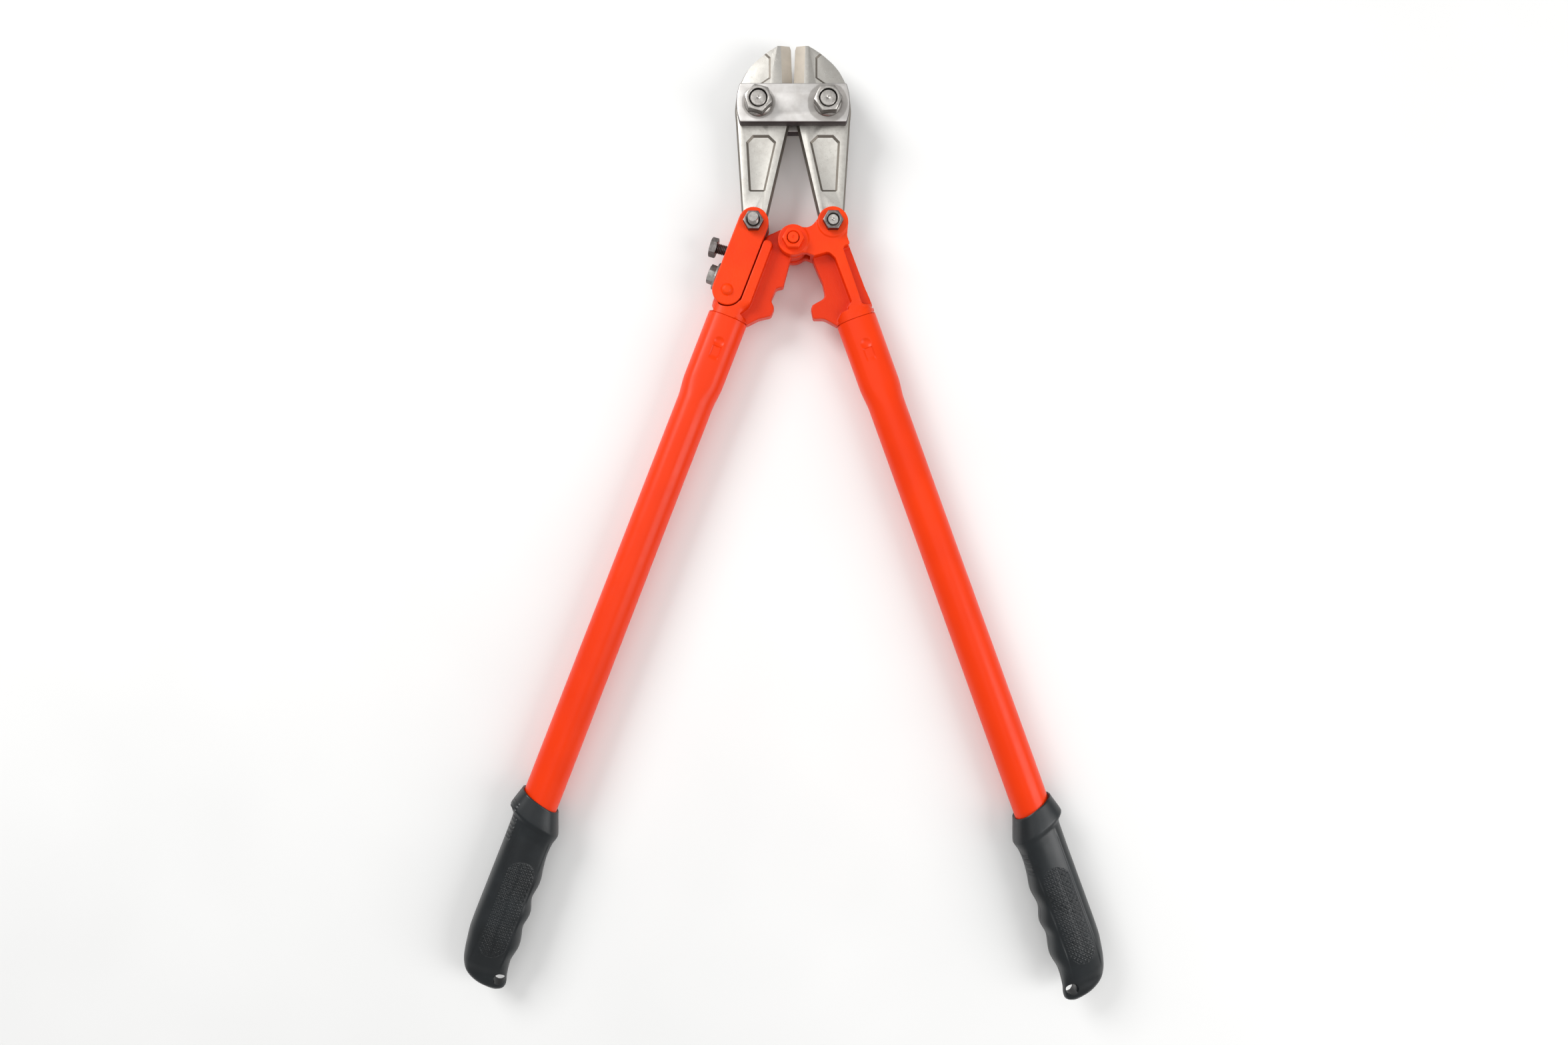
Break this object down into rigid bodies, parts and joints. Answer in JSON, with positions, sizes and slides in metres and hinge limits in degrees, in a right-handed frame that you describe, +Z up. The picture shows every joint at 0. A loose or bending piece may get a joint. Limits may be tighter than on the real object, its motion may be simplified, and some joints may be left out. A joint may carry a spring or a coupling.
{
  "type": "bolt cutters",
  "caption": "Long-handled centre-cut bolt cutters with forged blades, orange tubular handles, black moulded grips and a screw jaw adjuster.",
  "frame": {"origin": "under the middle of the tool's box, on the surface that it lies on", "axes": "+X to the right across the handles, +Y along the tool towards the blades, +Z up out of the surface that it lies on"},
  "size_m": [0.4853, 0.713, 0.049],
  "materials": {
    "forged_steel": "forged and ground blade steel, satin, lightly mottled",
    "satin_steel": "bright sheet steel, tumbled satin",
    "zinc_plate": "dull zinc plating",
    "dark_screw": "phosphated, oily dark grey",
    "orange_paint": "orange-red gloss paint over a rough casting",
    "tube_paint": "smooth orange-red powder coat",
    "black_rubber": "moulded, semi-matt, knurled"
  },
  "bodies": {
    "head": {"head_plate_front": "satin_steel", "head_plate_rear": "satin_steel", "pivot_bolt_left": "zinc_plate", "pivot_bolt_right": "zinc_plate", "pivot_nut_left": "zinc_plate", "pivot_nut_right": "zinc_plate"},
    "blade_left": {"blade_left": "forged_steel"},
    "blade_right": {"blade_right": "forged_steel"},
    "handle_right": {"casting_right": "orange_paint", "tube_right": "tube_paint", "grip_right": "black_rubber", "toggle_bolt_right": "zinc_plate", "toggle_nut_right": "zinc_plate", "centre_bolt": "orange_paint", "centre_nut": "orange_paint", "thrust_washers": "zinc_plate"},
    "link_left": {"adjuster_link": "orange_paint", "link_rivet": "orange_paint", "toggle_bolt_left": "zinc_plate", "toggle_nut_left": "zinc_plate"},
    "handle_left": {"casting_left": "orange_paint", "tube_left": "tube_paint", "grip_left": "black_rubber", "lock_washer": "zinc_plate"},
    "adjusting_screw": {"adjusting_screw": "dark_screw"},
    "lock_bolt": {"lock_bolt": "zinc_plate"}
  },
  "joints": [
    {"name": "blade_right_pivot", "type": "hinge", "parent": "head", "child": "blade_right", "pos_m": [0.03212, 0.31006, 0.02105], "axis": [0, 0, 1], "range_deg": [-2.54, 1.96]},
    {"name": "blade_left_pivot", "type": "hinge", "parent": "head", "child": "blade_left", "pos_m": [-0.01888, 0.31006, 0.02105], "axis": [0, 0, 1], "range_deg": [-1.96, 2.54]},
    {"name": "handle_right_swing", "type": "hinge", "parent": "blade_right", "child": "handle_right", "pos_m": [0.03592, 0.22256, 0.02105], "axis": [0, 0, 1], "range_deg": [-15.8, 20.5]},
    {"name": "handle_left_swing", "type": "hinge", "parent": "blade_left", "child": "link_left", "pos_m": [-0.02268, 0.22256, 0.02105], "axis": [0, 0, 1], "range_deg": [-20.6, 15.9]},
    {"name": "jaw_adjuster", "type": "hinge", "parent": "link_left", "child": "handle_left", "pos_m": [-0.04207, 0.17269, 0.02105], "axis": [0, 0, 1], "range_deg": [-0.75, 0.75]},
    {"name": "adjusting_screw_turn", "type": "hinge", "parent": "link_left", "child": "adjusting_screw", "pos_m": [-0.042, 0.20378, 0.02105], "axis": [-0.96, 0.2798, 0], "range_deg": [-110.4, 110.4]},
    {"name": "lock_bolt_turn", "type": "hinge", "parent": "handle_left", "child": "lock_bolt", "pos_m": [-0.04939, 0.18477, 0.02105], "axis": [-0.932, 0.3624, 0], "range_deg": [-30, 90]}
  ],
  "couplings": [
    {"joint": "blade_right_pivot", "follows": "handle_right_swing", "ratio": -0.12281},
    {"joint": "blade_left_pivot", "follows": "handle_right_swing", "ratio": 0.12281},
    {"joint": "handle_left_swing", "follows": "handle_right_swing", "ratio": -1},
    {"joint": "adjusting_screw_turn", "follows": "jaw_adjuster", "ratio": -145.8}
  ]
}
